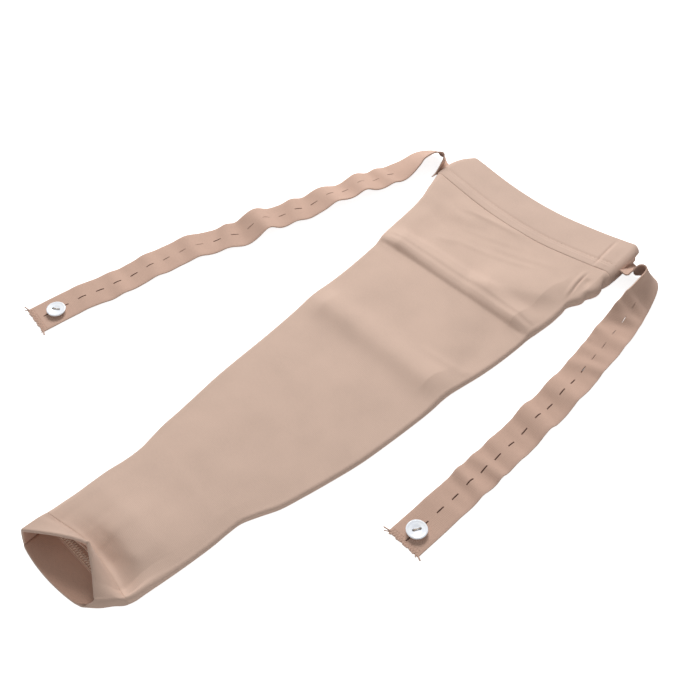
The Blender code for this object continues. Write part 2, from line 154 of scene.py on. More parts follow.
# Light and floor
WORLD_STRENGTH = 0.285
KEY_LIGHT = {"place": (-0.75, 0.72, 0.95), "size": 0.6, "watts": 18.6}
FILL_LIGHT = {"place": (0.6, -0.8, 0.4), "size": 0.8, "watts": 1.9}
FLOOR_Z = -0.0002
FLOOR_SIZE = 6.0
FLOOR_LIFT = 0.85        # light of its own that only direct views see, so that it reads white

# Camera
CAMERA_AT = (0.2744, -0.2795, 0.4629)
CAMERA_AIM = (-0.015, 0.0, 0.0)
CAMERA_LENS = 57.7
CAMERA_SENSOR = 36.0
CAMERA_CLIP = 0.01

# One ring of the tube: the underside at y, its left and right edges, how far each fold bulges, the
# top panel's line from the left fold over its crest (or sag) to the right fold, how sharp that
# crest is, how far the middle of the underside bows towards the cuff, and how far its right corner
# is tucked in.
Ring = namedtuple(
    "Ring",
    "y left right bulge_left bulge_right"
    " y_left z_left x_crest y_crest z_crest y_right z_right ridge bow toe",
    defaults=(0, 0, 0),
)


def table_of(kind, *rows):
    return [kind(*row) for row in rows]


def flat_ring(y, left, right, z_left=4.2, z_crest=5.0, z_right=4.2, skew=0.0):
    """A ring of the flattened tube; skew moves the top panel's right end ahead of its left end."""
    return Ring(
        y, left, right, z_left / 2, z_right / 2,
        y - skew / 2, z_left, (left + right) / 2, y, z_crest, y + skew / 2, z_right,
    )


CUFF_RINGS = table_of(
    Ring,
    (-200.5, -28, 25.5, 1.5, 2.4, -198.9, 12.8, 5.2, -181.3, 21, -194, 5.6, 0.75, 2.6, 4),
    (-195.8, -28.6, 29, 2, 2.6, -194, 12.2, 3.8, -180.9, 17, -190.4, 5.8, 0.7, 1.6, 2.2),
    (-189.4, -29.2, 32.2, 2.5, 2.6, -189, 11.4, 1.6, -180.2, 12.4, -187.4, 6, 0.5, 0.6, 0.8),
    (-186, -29.6, 34.4, 2.8, 2.4, -186.6, 10.4, -0.6, -179.6, 8.8, -185.8, 6.3, 0.35, 0, 0.2),
)
SLEEVE_RINGS = table_of(
    Ring,
    (-181.4, -29.8, 35.8, 2.8, 2.2, -182.2, 9.2, -2.4, -177.9, 7.3, -182, 6.4, 0.2, 0, 0),
    (-175, -30.4, 36.4, 2.8, 2.5, -176, 7.8, -2, -172.8, 7.4, -175.4, 6.2, 0.1, 0, 0),
) + table_of(
    flat_ring,
    (-168, -30.8, 37, 6.8, 8.4, 5.8),
    (-158, -31.4, 37.6, 5.8, 9, 5),
    (-148, -31.7, 38, 5.2, 7.9, 4.4),
    (-136, -31, 38.3, 4.8, 6.2, 4.2),
    (-126, -31.6, 38, 4.4, 5.7, 4.2),
    (-119, -33.2, 38.2),
    (-110, -35.2, 41.2),
    (-100, -36.4, 45.2),
    (-86, -38.4, 48.2),
    (-70, -40.8, 51),
    (-52, -42.6, 53.6),
    (-34, -44, 54.8),
    (-16, -45.8, 55.5),
    (-6, -47, 55.7),
    (1, -47.8, 55.7, 4.8, 5, 4.8),
    (8, -48.6, 55.4, 5.6, 5, 5.6),
    (15, -49.1, 55.5, 5.4, 5, 5.4),
    (22, -49.4, 56.2, 4.6, 5, 4.6),
    (34, -50, 57.8),
    (48, -51.2, 59),
    (60, -52.6, 59.4),
    (69, -53.9, 59.4, 4.2, 5, 4.2, 2.4),
    (72, -54.6, 59.4, 4.8, 5, 4.8, 3.6),
    (75, -55.2, 59.7, 6.2, 5, 6.2, 4),
    (79, -56, 60.1, 6.2, 5, 6.4, 4),
    (85, -57.4, 60.4, 5.2, 5, 5.8, 2.4),
    (94, -58.8, 60.8, 4.8, 5.2, 5.8),
    (104, -60.2, 60.4, 4.8, 5.4, 6),
    (112, -61.6, 60.6, 5, 5.4, 6.4),
    (119, -63.2, 63.4, 5.6, 5.4, 7.4),
    (127, -66, 65.4, 6.2, 5.4, 8.6),
) + table_of(
    Ring,
    (131.2, -67.4, 65.6, 3.4, 4.8, 132.4, 6.8, 0, 129.4, 5.4, 133.6, 9.2),
    (135.2, -68.8, 65.8, 3.8, 5.2, 137, 7.2, 0, 133, 5.5, 139.4, 9.8),
)
BAND_RINGS = table_of(
    Ring,
    (140, -70.4, 66.2, 4, 5.4, 141.8, 7.6, 0, 138, 5.6, 144.6, 10.2),
    (145.6, -71.2, 66.4, 4, 5.4, 147, 7.6, 0, 143.4, 5.6, 150, 10.6),
    (153.2, -71, 66.2, 4, 5.4, 154.4, 7.4, 0, 150.8, 5.6, 157.6, 10.8),
    (161, -68.8, 65.8, 4, 5.4, 161.9, 7.2, 0, 158.4, 5.6, 165.2, 11),
    (167, -65, 65, 4, 5.4, 167.7, 7, 0, 164.9, 5.6, 171.3, 11.2),
)

ALL_RINGS = CUFF_RINGS + SLEEVE_RINGS + BAND_RINGS
CUFF_SEAM = (CUFF_RINGS[-1].y + SLEEVE_RINGS[0].y) / 2
BAND_SEAM = (SLEEVE_RINGS[-1].y + BAND_RINGS[0].y) / 2
BODY_END_GAP = 0.4       # what the sleeve's edges, and the bands', keep clear of a seam's middle
BAND_END_GAP = 0.6

# The sleeve's rings lie closest at the folds and the seams: up to which place, and how far apart.
BODY_STEPS = [(-164, 0.9), (-6, 1.5), (66, 1.3), (92, 0.6), (128, 1.1), (BAND_SEAM - BODY_END_GAP, 0.6)]
BAND_STEP = 0.5

# Folds and soft hollows of the top panel: a roll along a line from (x_from, y_from) to (x_to, y_to),
# its height above the panel (below where negative), its half width on the side behind (to the right
# of the way along) and ahead, and its form: 1 for a kink, 2 for a soft roll, 4 for a pressed fold.
Fold = namedtuple("Fold", "x_from y_from x_to y_to height behind ahead crisp")
FOLDS = table_of(
    Fold,
    # the elbow
    (-70, 76.4, 74, 79.2, 2.3, 5.8, 10, 4),
    (-66, 82, 70, 84, 0.8, 18, 16, 2),
    (8, 81, 66, 115, 3, 8.5, 18, 2),
    # the forearm
    (-66, 9, 72, 11.4, 3.2, 9, 12, 2),
    # the left side above the elbow
    (-49, 80, -40, 122, -1.5, 16, 6.5, 2),
    (-46, 117, -14, 124, 0.7, 5, 5, 2),
    (-46, 127.6, 14, 135, 0.5, 4, 4, 2),
    # the wrist
    (-42, -115.5, 44, -126.5, 0.45, 5, 20, 2),
    (-44, -157, 44, -152.5, 0.5, 5, 18, 2),
    # behind the cuff
    (-42, -185, 4, -178.6, -1.8, 5, 12, 1),
    (-8, -178.6, 38, -185, -2.8, 5, 13, 1),
)

# Finer creases and seam lines of the top panel, each along a curve from one point by a second to a
# third: height above the panel, and half width behind (to the right of the way along) and ahead.
Crease = namedtuple("Crease", "x_from y_from x_by y_by x_to y_to height behind ahead")
CREASES = table_of(
    Crease,
    # fine lines of the elbow fold
    (-64, 75.2, 2, 76.6, 68, 77.6, 0.2, 1.2, 1.6),
    (-60, 79.2, 2, 81.4, 66, 82.6, 0.35, 1.4, 3),
    (-55, 82.6, -20, 86.4, 12, 87, 0.2, 1.4, 3),
    # wrinkles between elbow and top band
    (-24, 103, 4, 108, 34, 119, 0.3, 1.6, 2.2),
    (-42, 124, -20, 130, 8, 133, 0.35, 1.6, 1.6),
    (-8, 113, 14, 118, 40, 127, 0.25, 1.8, 2.6),
    (-30, 112, -8, 118, 16, 126, 0.22, 1.4, 2.4),
    # the left side
    (-34, 97, -26, 99, -16, 104, 0.35, 2.6, 2.6),
    (-46.5, 80, -46, 100, -43, 118, 0.9, 6, 6),
    # the forearm's right side
    (18, 25, 40, 27, 64, 32, 0.35, 2.5, 2.5),
    (36, 66, 47, 44, 42, 24, -0.5, 7, 6),
    # below the elbow fold
    (-62, 70.4, 2, 71.6, 68, 73.4, -0.25, 1.2, 0.9),
    # the side seam
    (54, 137, 55.2, 121, 59.2, 107.6, -0.8, 0.7, 0.7),
    (52, 138, 53.2, 122, 57.4, 107.6, 0.6, 1.2, 3),
    (56.5, 132, 60, 127, 64, 123, -0.9, 2.4, 2.4),
    # the side seam's way across the top band
    (52.2, 139, 50.6, 155, 49.5, 170, -0.5, 0.6, 0.6),
    (54.2, 138, 52.6, 155, 51.5, 171, 0.6, 6, 1),
    # the cuff
    (-10, -165, 12, -166, 33, -170, 2, 8, 14),
    (0, -175.6, 20, -178.4, 42, -184.2, -2.1, 3.5, 7),
    (4, -176, 16, -170, 27, -166, 0.35, 3, 3),
)
RIPPLES = 14             # random soft waves over each panel
RIPPLE_HEIGHT = 0.035
RIPPLE_LONGEST = 46.0
RIPPLE_SHORTEST = 13.0
RIPPLE_SEED = 11

# A strap: centre of its width, and the direction across it (azimuth and tilt in degrees), from its
# root at the top band to its buttoned end.
Station = namedtuple("Station", "x y z across tilt", defaults=(0,))
STRAP_RIGHT = table_of(
    Station,
    (66.5, 158.6, 5.4, 94, -21),
    (68.6, 157.4, 6.2, 100, -21),
    (69.7, 156.3, 7, 107, -28),
    (70.9, 155.8, 8.2, 113, -46),
    (72.4, 156.5, 9.4, 116, -60),
    (74.6, 158.4, 9.8, 113, -61),
    (77.2, 159.7, 9.6, 102, -57),
    (79.6, 159.4, 9.4, 90, -52),
    (81.4, 157.4, 9, 77, -46),
    (82.8, 153.9, 8.4, 66, -40),
    (84, 149.2, 7.7, 58, -35),
    (85.1, 143.4, 6.8, 50, -30),
    (86.5, 135.5, 5.5, 41, -24),
    (88, 126.3, 3.4, 30, -15),
    (89.4, 116, 1.8, 19, -6),
    (91, 105.1, 1.1, 9, -1),
    (92.6, 92, 0.9, 356),
    (94.9, 74, 0.8, 354),
    (97, 54, 0.8, 355),
    (98, 36, 0.8, 357),
    (98.8, 18, 0.8, 358),
    (99.4, 2, 0.8, 358.5),
    (100, -18, 0.8, 359),
    (100.4, -38, 0.8, 359.5),
    (100.6, -69.2, 0.8, 360),
)
STRAP_LEFT = table_of(
    Station,
    (-72.3, 148.9, 3.6, 92),
    (-73.9, 150.1, 3.4, 102, -5),
    (-75.6, 151.6, 4, 113, -14),
    (-76.6, 153.2, 5.6, 123, -28),
    (-77.2, 153.5, 7.4, 133, -40),
    (-78.6, 153.2, 8.6, 136, -45),
    (-80.9, 153.3, 8.6, 131, -40.5),
    (-84, 152.2, 7.7, 128, -36),
    (-87, 149.8, 6.2, 132, -31),
    (-88.6, 145.6, 5.4, 139, -27),
    (-88.8, 140, 4.3, 149, -20),
    (-89.2, 132, 3.4, 158, -13),
    (-91.2, 121.5, 2.5, 163, -7),
    (-95.4, 103.6, 2.7, 163, -9),
    (-100.2, 86.6, 2.8, 163, -10),
    (-104.8, 68.4, 2.5, 163, -8),
    (-109.4, 53.4, 1.4, 160, -2),
    (-114.6, 35, 1, 164),
    (-117.4, 17, 0.9, 168),
    (-123.6, 1.4, 0.8, 156),
    (-130.9, -16.4, 0.8, 166),
    (-134.3, -40, 0.8, 172),
    (-137.4, -66, 0.8, 168),
    (-142.6, -90, 0.8, 170),
    (-145.4, -115.4, 0.8, 172),
)

# Waves where the elastic stands off the table: how far each crest is from the cut end, its height
# and half width, and how far it leans along the strap for each mm across.
Wave = namedtuple("Wave", "at height width lean")
WAVES_RIGHT = table_of(
    Wave,
    (29, 0.5, 6, 0.1),
    (49, 1.5, 4.5, -0.15),
    (62.5, 1.3, 3.6, 0.1),
    (76.5, 1, 5, 0),
    (103, 2.6, 7, -0.1),
    (128, 2.2, 8, 0.15),
    (152, 1.1, 4.5, 0.5),
    (162, 0.7, 4.5, 0.2),
    (178, 1.3, 5.5, -0.1),
    (197, 1, 4, -0.5),
    (206.5, 1, 3.2, -0.6),
)
WAVES_LEFT = table_of(
    Wave,
    (33, 0.5, 6, 0.1),
    (51, 0.6, 6, -0.2),
    (74, 0.9, 7, 0.2),
    (104, 0.9, 6, -0.1),
    (126, 1.6, 6, 0.3),
    (148, 4, 9, -0.1),
    (171, 1.6, 5.5, 0.2),
    (196, 2.6, 8, -0.2),
    (219, 3, 7, 0.1),
    (236.5, 1.4, 5, -0.2),
    (262, 1, 7, 0.2),
)

# A button's turned form, from the middle of its top to the middle of its underside: share of its
# radius, and height.
BUTTON_PROFILE = [
    (0.0, BUTTON_BED), (0.27, BUTTON_BED), (0.36, 1.66), (0.44, 1.78), (0.66, 1.82), (0.78, 1.86),
    (0.84, 1.96), (0.89, 2.0), (0.95, 1.98), (0.99, 1.84), (1.0, 1.5), (0.96, 1.0), (0.88, 0.55),
    (0.76, 0.22), (0.64, 0.04), (0.0, 0.0),
]

# How dark the shade painted along the buttonholes is, at lengths from the first one: (length, darkness) for
# each strap.
LONGEST_STRAP = 300.0
SLIT_SHADE_RIGHT = [(0, 1), (146, 0.9), (150, 0.22), (206, 0.18), (208, 0)]
SLIT_SHADE_LEFT = [
    (0, 1), (60, 1), (75, 0.55), (86, 0.35), (106, 0.25), (111, 1), (130, 0.5), (146, 0.3), (160, 0.6),
    (176, 1), (186, 0.35), (197, 0.9), (209, 0.3), (226, 0.3), (231, 0.9), (238, 0.8), (242, 0),
]

# Where a strap is gathered in at its root: over what length, which side (1 is the side its stations
# point to) and to what share of its half width.
Gather = namedtuple("Gather", "length side share")
GATHER_LEFT = Gather(15.0, 1, 0.45)
GATHER_RIGHT = Gather(9.0, 1, 0.75)

# Bumps where the cloth puckers along the right fold beside the side seam: ring place, height
# (inwards where negative) and half width.
Bump = namedtuple("Bump", "place height width")
SIDE_BUMPS = table_of(
    Bump,
    (134, -1.2, 2),
    (129, 0.9, 3),
    (122.5, -1.1, 2.4),
    (116.5, 0.9, 3.2),
    (108.5, -0.7, 3),
)

# The notch between the layers of the top band at its right end, where the strap comes out: its depth,
# its half width as a share of the fold's half turn, and how soon it opens above the band seam.
BAND_END_NOTCH = 2.0
NOTCH_SHARE = 0.09
NOTCH_REACH = 4.0

# Loose threads at the corners of a cut end: where each starts across the strap, how far it reaches
# past the end, how far it swings across, how high its tip lies and its thickness.
Fray = namedtuple("Fray", "across reach swing tip radius")
FRAYS_RIGHT = table_of(
    Fray,
    (-8.2, 0.4, -4.6, 1.9, 0.42),
    (-8.6, 1.3, -3, 1, 0.36),
    (-7, 0.9, -1.8, 0.7, 0.3),
    (8.4, 0.8, 3.6, 0.8, 0.42),
    (7.4, 0.9, 1.6, 0.6, 0.3),
)
FRAYS_LEFT = table_of(
    Fray,
    (8.4, 0.5, 4.2, 1.9, 0.42),
    (8.8, 1.2, 2.2, 0.9, 0.34),
    (-8.2, 0.7, -4.4, 0.9, 0.4),
    (-8.6, 1.1, -1.6, 0.6, 0.3),
)


# ---------------- shader nodes

def set_all(thing, settings):
    for key, value in settings.items():
        setattr(thing, key, value)


class Nodes:
    """Short names for the shader nodes of a material or a world."""

    def __init__(self, owner):
        owner.use_nodes = True
        self.owner = owner
        self.tree = owner.node_tree

    def give(self, node, inputs):
        """Inputs by name or number: each a constant for its socket, or another node's output."""
        for key, value in inputs.items():
            if isinstance(value, bpy.types.NodeSocket):
                self.tree.links.new(value, node.inputs[key])
            else:
                node.inputs[key].default_value = value

    def dress(self, inputs):
        shader = self.tree.nodes["Principled BSDF"]
        self.give(shader, inputs)
        return shader.outputs[0]

    def add(self, kind, inputs=None, **settings):
        node = self.tree.nodes.new(kind)
        set_all(node, settings)
        self.give(node, inputs or {})
        return node

    def math(self, operation, *values):
        return self.add("ShaderNodeMath", dict(enumerate(values)), operation=operation).outputs[0]

    def plus(self, a, b):
        return self.math("ADD", a, b)

    def times(self, a, b):
        return self.math("MULTIPLY", a, b)

    def noise(self, place, scale, detail=2.0, roughness=0.5):
        inputs = {"Vector": place, "Scale": scale, "Detail": detail, "Roughness": roughness}
        return self.add("ShaderNodeTexNoise", inputs).outputs["Fac"]

    def ramp(self, factor, stops):
        node = self.add("ShaderNodeValToRGB", {"Fac": factor})
        elements = node.color_ramp.elements
        while len(elements) < len(stops):
            elements.new(0.5)
        for element, (place, colour) in zip(elements, stops):
            element.position = place
            element.color = (*colour, 1.0)
        return node.outputs["Color"]

    def white(self, kind, strength):
        """A white Background or Emission."""
        return self.add(kind, {"Color": (1.0, 1.0, 1.0, 1.0), "Strength": strength}).outputs[0]

    def lit_or_seen(self, lit, seen):
        """seen for a ray from the camera or from a gloss or glass surface, else lit."""
        path = self.add("ShaderNodeLightPath").outputs
        direct = path["Is Camera Ray"]
        for name in ("Is Glossy Ray", "Is Transmission Ray"):
            direct = self.math("MAXIMUM", direct, path[name])
        return self.add("ShaderNodeMixShader", {0: direct, 1: lit, 2: seen}).outputs[0]


# ---------------- camera, light and floor

def put(name, data):
    thing = bpy.data.objects.new(name, data)
    bpy.context.scene.collection.objects.link(thing)
    return thing


def point_at(thing, place, aim):
    thing.location = place
    thing.rotation_euler = (Vector(aim) - Vector(place)).to_track_quat("-Z", "Y").to_euler()


def make_camera():
    data = bpy.data.cameras.new("camera")
    data.lens = CAMERA_LENS
    data.sensor_width = CAMERA_SENSOR
    data.clip_start = CAMERA_CLIP
    camera = put("camera", data)
    point_at(camera, CAMERA_AT, CAMERA_AIM)
    bpy.context.scene.camera = camera


def make_light(name, place, size, watts):
    data = bpy.data.lights.new(name, "AREA")
    data.size = size
    data.energy = watts
    point_at(put(name, data), place, (0.0, 0.0, 0.0))


def make_world():
    """Soft white light all round, seen as plain white by the camera and in reflections."""
    world = bpy.data.worlds.new("studio")
    bpy.context.scene.world = world
    made = Nodes(world)
    lit = made.white("ShaderNodeBackground", WORLD_STRENGTH)
    seen = made.white("ShaderNodeBackground", 1.0)
    made.give(made.tree.nodes["World Output"], {"Surface": made.lit_or_seen(lit, seen)})


def make_floor():
    bpy.ops.mesh.primitive_plane_add(size=FLOOR_SIZE, location=(0.0, 0.0, FLOOR_Z))
    floor = bpy.context.object
    floor.name = "floor"
    made = Nodes(bpy.data.materials.new("floor"))
    matt = made.dress({"Base Color": (*FLOOR_COLOUR, 1.0), "Roughness": 0.9, "Specular IOR Level": 0.0})
    dark = made.white("ShaderNodeEmission", 0.0)
    lift = made.lit_or_seen(dark, made.white("ShaderNodeEmission", FLOOR_LIFT))
    whole = made.add("ShaderNodeAddShader", {0: matt, 1: lift}).outputs[0]
    made.give(made.tree.nodes["Material Output"], {"Surface": whole})
    floor.data.materials.append(made.owner)


# ---------------- materials

def shade(colour, by):
    return tuple(min(1.0, c * by) for c in colour)


def painted_slit_shade(made, split, darkness):
    """How dark the shade painted along a buttonhole is; 0 away from the buttonholes."""
    turns = made.math("DIVIDE", made.plus(split["Y"], SLIT_SHADE_REACH), HOLE_PITCH)
    place = made.times(made.math("FRACT", turns), HOLE_PITCH)
    past_end = made.math("LESS_THAN", place, HOLE_LENGTH + 2.0 * SLIT_SHADE_REACH)
    beside = made.math("LESS_THAN", made.math("ABSOLUTE", split["X"]), SLIT_SHADE_REACH)
    after_first = made.math("GREATER_THAN", split["Y"], -1.0)
    here = made.times(made.times(past_end, beside), after_first)
    stops = [(run / LONGEST_STRAP, (value, value, value)) for run, value in darkness]
    return made.times(here, made.ramp(made.math("DIVIDE", split["Y"], LONGEST_STRAP), stops))


def cloth_material(name, colour, cloth, slit_shade=None):
    """Knit or woven cloth. The last argument, if given, says how dark the shade painted along the
    buttonholes is, at lengths from the first one. The cloth's coordinates are in mm, so the noise scales
    are per mm."""
    made = Nodes(bpy.data.materials.new(name))
    place = made.add("ShaderNodeUVMap", uv_map="cloth").outputs["UV"]
    split = made.add("ShaderNodeSeparateXYZ", {0: place}).outputs
    wobble = made.noise(place, 0.35, 2.0)
    u = made.plus(split["X"], made.times(wobble, 0.8 * cloth.wale))
    v = made.plus(split["Y"], made.times(wobble, 0.8 * cloth.course))
    across = made.math("SINE", made.times(u, 2 * math.pi / cloth.wale))
    tilt = made.times(made.math("ABSOLUTE", across), 1.6)
    along = made.math("SINE", made.plus(made.times(v, 2 * math.pi / cloth.course), tilt))
    loops = made.plus(made.times(across, 0.6), made.times(along, 0.4))
    fuzz = made.noise(place, 1.6, 3.0, 0.65)
    height = made.plus(made.times(loops, 0.5), made.times(fuzz, 1.4))
    relief = {"Strength": cloth.relief, "Distance": STITCH_DEPTH * MM, "Height": height}
    patches = made.noise(place, 0.035, 3.0)
    speckle = made.noise(place, 0.9, 3.0, 0.7)
    tone = made.plus(made.times(patches, 0.5), made.times(speckle, cloth.grain))
    tone = made.plus(tone, made.times(loops, 0.035))
    middle = 0.25 + cloth.grain / 2.0
    dyed = made.ramp(tone, [
        (middle - 0.22, shade(colour, 0.88)),
        (middle, colour),
        (middle + 0.22, shade(colour, 1.08)),
    ])
    # painted shade: darken the cloth along each buttonhole, where shade falls inside the slit
    if slit_shade:
        slit = {"Factor": painted_slit_shade(made, split, slit_shade), "A": dyed, "B": (*SLIT_SHADE_COLOUR, 1.0)}
        dyed = made.add("ShaderNodeMix", slit, data_type="RGBA").outputs["Result"]
    made.dress({
        "Base Color": dyed,
        "Normal": made.add("ShaderNodeBump", relief).outputs["Normal"],
        "Roughness": made.plus(made.times(speckle, 0.1), 0.82),
        "Specular IOR Level": 0.25,
        "Sheen Weight": cloth.sheen,
        "Sheen Roughness": 0.5,
    })
    return made.owner


def spotted_material(name, scale, detail, low, high, finish):
    """A material whose colour drifts softly between two tones, each with its noise value."""
    made = Nodes(bpy.data.materials.new(name))
    place = made.add("ShaderNodeTexCoord").outputs["Object"]
    made.dress({"Base Color": made.ramp(made.noise(place, scale, *detail), [low, high]), **finish})
    return made.owner


def thread_material(name, colour):
    """Spun sewing thread, a little uneven in tone."""
    low = (0.35, shade(colour, 0.86))
    high = (0.65, shade(colour, 1.12))
    return spotted_material(name, 900.0, (2.0,), low, high, {"Roughness": 0.75, "Specular IOR Level": 0.25})


def shell_button_material(name):
    """Pearly white polyester with faint cloudy bands."""
    low = (0.3, PEARL_CLOUD_COLOUR)
    high = (0.7, PEARL_COLOUR)
    finish = {"Roughness": 0.4, "Coat Weight": 0.15, "Coat Roughness": 0.1}
    return spotted_material(name, 260.0, (3.0, 0.6), low, high, finish)


# ---------------- surfaces

def smooth_rows(table, places):
    """A table's rows at other places of its first column, on a smooth curve through the rows."""
    table = np.array(table, float)
    at = table[:, 0]
    slopes = np.gradient(table, at, axis=0)
    i = np.clip(np.searchsorted(at, places, side="right") - 1, 0, len(at) - 2)
    span = (at[i + 1] - at[i])[:, None]
    t = (places - at[i])[:, None] / span
    return (
        (2 * t**3 - 3 * t**2 + 1) * table[i]
        + (t**3 - 2 * t**2 + t) * span * slopes[i]
        + (3 * t**2 - 2 * t**3) * table[i + 1]
        + (t**3 - t**2) * span * slopes[i + 1]
    )


def between(start, end, share):
    return start + (end - start) * share


def hump(away):
    return np.exp(-(away**2))


def ease(share):
    """0 below 0 and 1 above 1, with a smooth rise between."""
    share = np.clip(share, 0.0, 1.0)
    return share * share * (3.0 - 2.0 * share)


def curve(start, control, end, count):
    t = np.linspace(0.0, 1.0, count)[:, None]
    return (1 - t) ** 2 * start + 2 * t * (1 - t) * control + t**2 * end


def roll(form, crisp, path, x, y):
    """A long roll's height at (x, y) before it fades, how far from its nearer end that is, and the
    roll's length."""
    away, along, length = distance_to(path, x, y)
    width = np.where(away > 0.0, form.ahead, form.behind)
    return form.height * np.exp(-(np.abs(away / width) ** crisp)), np.minimum(along, length - along), length


def fold_relief(x, y):
    """Height that the folds add to the top panel at (x, y)."""
    total = np.zeros(x.shape)
    for fold in FOLDS:
        path = np.array([[fold.x_from, fold.y_from], [fold.x_to, fold.y_to]])
        height, from_end, _ = roll(fold, fold.crisp, path, x, y)
        total += height * np.clip(from_end / FOLD_END, 0.0, 1.0)
    return total


def crease_relief(x, y):
    """Height that the fine creases add to the top panel at (x, y)."""
    total = np.zeros(x.shape)
    for crease in CREASES:
        start = np.array([crease.x_from, crease.y_from])
        by = np.array([crease.x_by, crease.y_by])
        end = np.array([crease.x_to, crease.y_to])
        path = curve(start, 2.0 * by - (start + end) / 2.0, end, 17)
        reach = 3.0 * max(crease.behind, crease.ahead)
        low = path.min(axis=0) - reach
        high = path.max(axis=0) + reach
        near = (x > low[0]) & (x < high[0]) & (y > low[1]) & (y < high[1])
        if near.any():
            height, from_end, length = roll(crease, 2, path, x[near], y[near])
            total[near] += height * ease(from_end / min(CREASE_END, length / 3.0))
    return total


def distance_to(path, x, y):
    """Signed distance of points from a path, above zero on its left, how far along it they are, and
    the path's length."""
    best = np.full(x.shape, 1e9)
    signed = np.zeros(x.shape)
    along = np.zeros(x.shape)
    run = 0.0
    for a, b in zip(path, path[1:]):
        length = math.dist(a, b)
        unit_x, unit_y = (b - a) / length
        at = np.clip((x - a[0]) * unit_x + (y - a[1]) * unit_y, 0.0, length)
        gap_x = x - a[0] - at * unit_x
        gap_y = y - a[1] - at * unit_y
        gap = np.hypot(gap_x, gap_y)
        closer = gap < best
        best = np.where(closer, gap, best)
        signed = np.where(closer, gap * np.sign(unit_x * gap_y - unit_y * gap_x), signed)
        along = np.where(closer, run + at, along)
        run += length
    return signed, along, run


def ripple(x, y, seed):
    """Soft uneven waves, the slight cockle of a knitted panel."""
    draw = random.Random(seed)
    total = np.zeros(x.shape)
    for _ in range(RIPPLES):
        length = draw.uniform(RIPPLE_SHORTEST, RIPPLE_LONGEST)
        way = draw.uniform(0.0, math.pi)
        phase = draw.uniform(0.0, 2 * math.pi)
        size = RIPPLE_HEIGHT * length / RIPPLE_LONGEST
        total += size * np.sin(2 * math.pi * (x * math.cos(way) + y * math.sin(way)) / length + phase)
    return total


def band_relief(place):
    """The raised strip above the band seam, less the groove of its topstitching."""
    groove = BAND_STITCH_DIP * hump((place - BAND_STITCH_ROW) / BAND_STITCH_REACH)
    on_strip = (place > BAND_SEAM) & (place < BAND_WELT_ROW)
    return np.where(on_strip, BAND_WELT, 0.0) - groove


def top_shares():
    """Where the top panel's columns lie, from its right edge to its left, closest by the side seam."""
    fine = np.linspace(0.0, FINE_SHARE, FINE_COLUMNS, endpoint=False)
    plain = np.linspace(FINE_SHARE, 1.0, PLAIN_COLUMNS, endpoint=False)
    return np.concatenate([fine, plain])


def stretch(low, high, step=RING_STEP):
    return np.linspace(low, high, max(3, round((high - low) / step) + 1))


def tube_grid(places):
    """Outer points of the tube, rings by columns, each ring from the left end of the underside
    round by the right fold."""
    rows = smooth_rows(ALL_RINGS, places)
    ring = Ring(*(rows[:, k:k + 1] for k in range(len(Ring._fields))))
    left_in = ring.left + ring.bulge_left
    right_in = ring.right - ring.bulge_right
    t = np.arange(UNDERSIDE_COLUMNS)[None, :] / UNDERSIDE_COLUMNS
    under = (
        between(left_in, right_in - ring.toe, t),
        ring.y - ring.bow * np.sin(math.pi * t) ** BOW_SHARPNESS,
        0.0 * t,
    )
    turn = math.pi * np.arange(FOLD_COLUMNS)[None, :] / FOLD_COLUMNS
    rise = (1.0 - np.cos(turn)) / 2.0
    at = np.array(places)[:, None]
    pucker = sum(bump.height * hump((at - bump.place) / bump.width) for bump in SIDE_BUMPS)
    in_band = np.clip((at - BAND_RINGS[0].y) / NOTCH_REACH, 0.0, 1.0)
    notch = BAND_END_NOTCH * in_band * hump((turn - 0.5 * math.pi) / (NOTCH_SHARE * math.pi))
    right = (
        right_in - ring.toe * (1.0 - rise) + (ring.bulge_right + pucker) * np.sin(turn) - notch,
        between(ring.y, ring.y_right, rise),
        ring.z_right * rise,
    )
    left = (
        left_in - ring.bulge_left * np.sin(turn),
        between(ring.y_left, ring.y, rise),
        ring.z_left * (1.0 - rise),
    )
    t = top_shares()[None, :]
    crest_at = (right_in - ring.x_crest) / (right_in - left_in)
    tent = np.where(t < crest_at, t / crest_at, (1.0 - t) / (1.0 - crest_at))
    lift = (1.0 - ring.ridge) * np.sin(tent * math.pi / 2.0) + ring.ridge * tent
    crest_y = ring.y_crest - between(ring.y_right, ring.y_left, crest_at)
    crest_z = ring.z_crest - between(ring.z_right, ring.z_left, crest_at)
    x = between(right_in, left_in, t)
    y = between(ring.y_right, ring.y_left, t) + lift * crest_y
    z = between(ring.z_right, ring.z_left, t) + lift * crest_z
    inset = np.minimum(t, 1.0 - t)
    fine = crease_relief(x, y) + ripple(x, y, RIPPLE_SEED) + band_relief(at)
    relief = np.clip(inset / EDGE_FADE, 0.0, 1.0) * fold_relief(x, y)
    relief += np.clip(inset / FINE_EDGE_FADE, 0.0, 1.0) * fine
    top = (x, y, z + relief)
    parts = [np.stack(np.broadcast_arrays(*part), axis=-1) for part in (under, right, top, left)]
    return np.concatenate(parts, axis=1)


def unit(vectors):
    return vectors / np.maximum(np.linalg.norm(vectors, axis=-1, keepdims=True), 1e-9)


def outward(grid):
    """Unit normals of a ring grid, and its unit direction along the tube."""
    around = np.roll(grid, -1, axis=1) - np.roll(grid, 1, axis=1)
    along = np.gradient(grid, axis=0)
    return unit(np.cross(along, around)), unit(along)


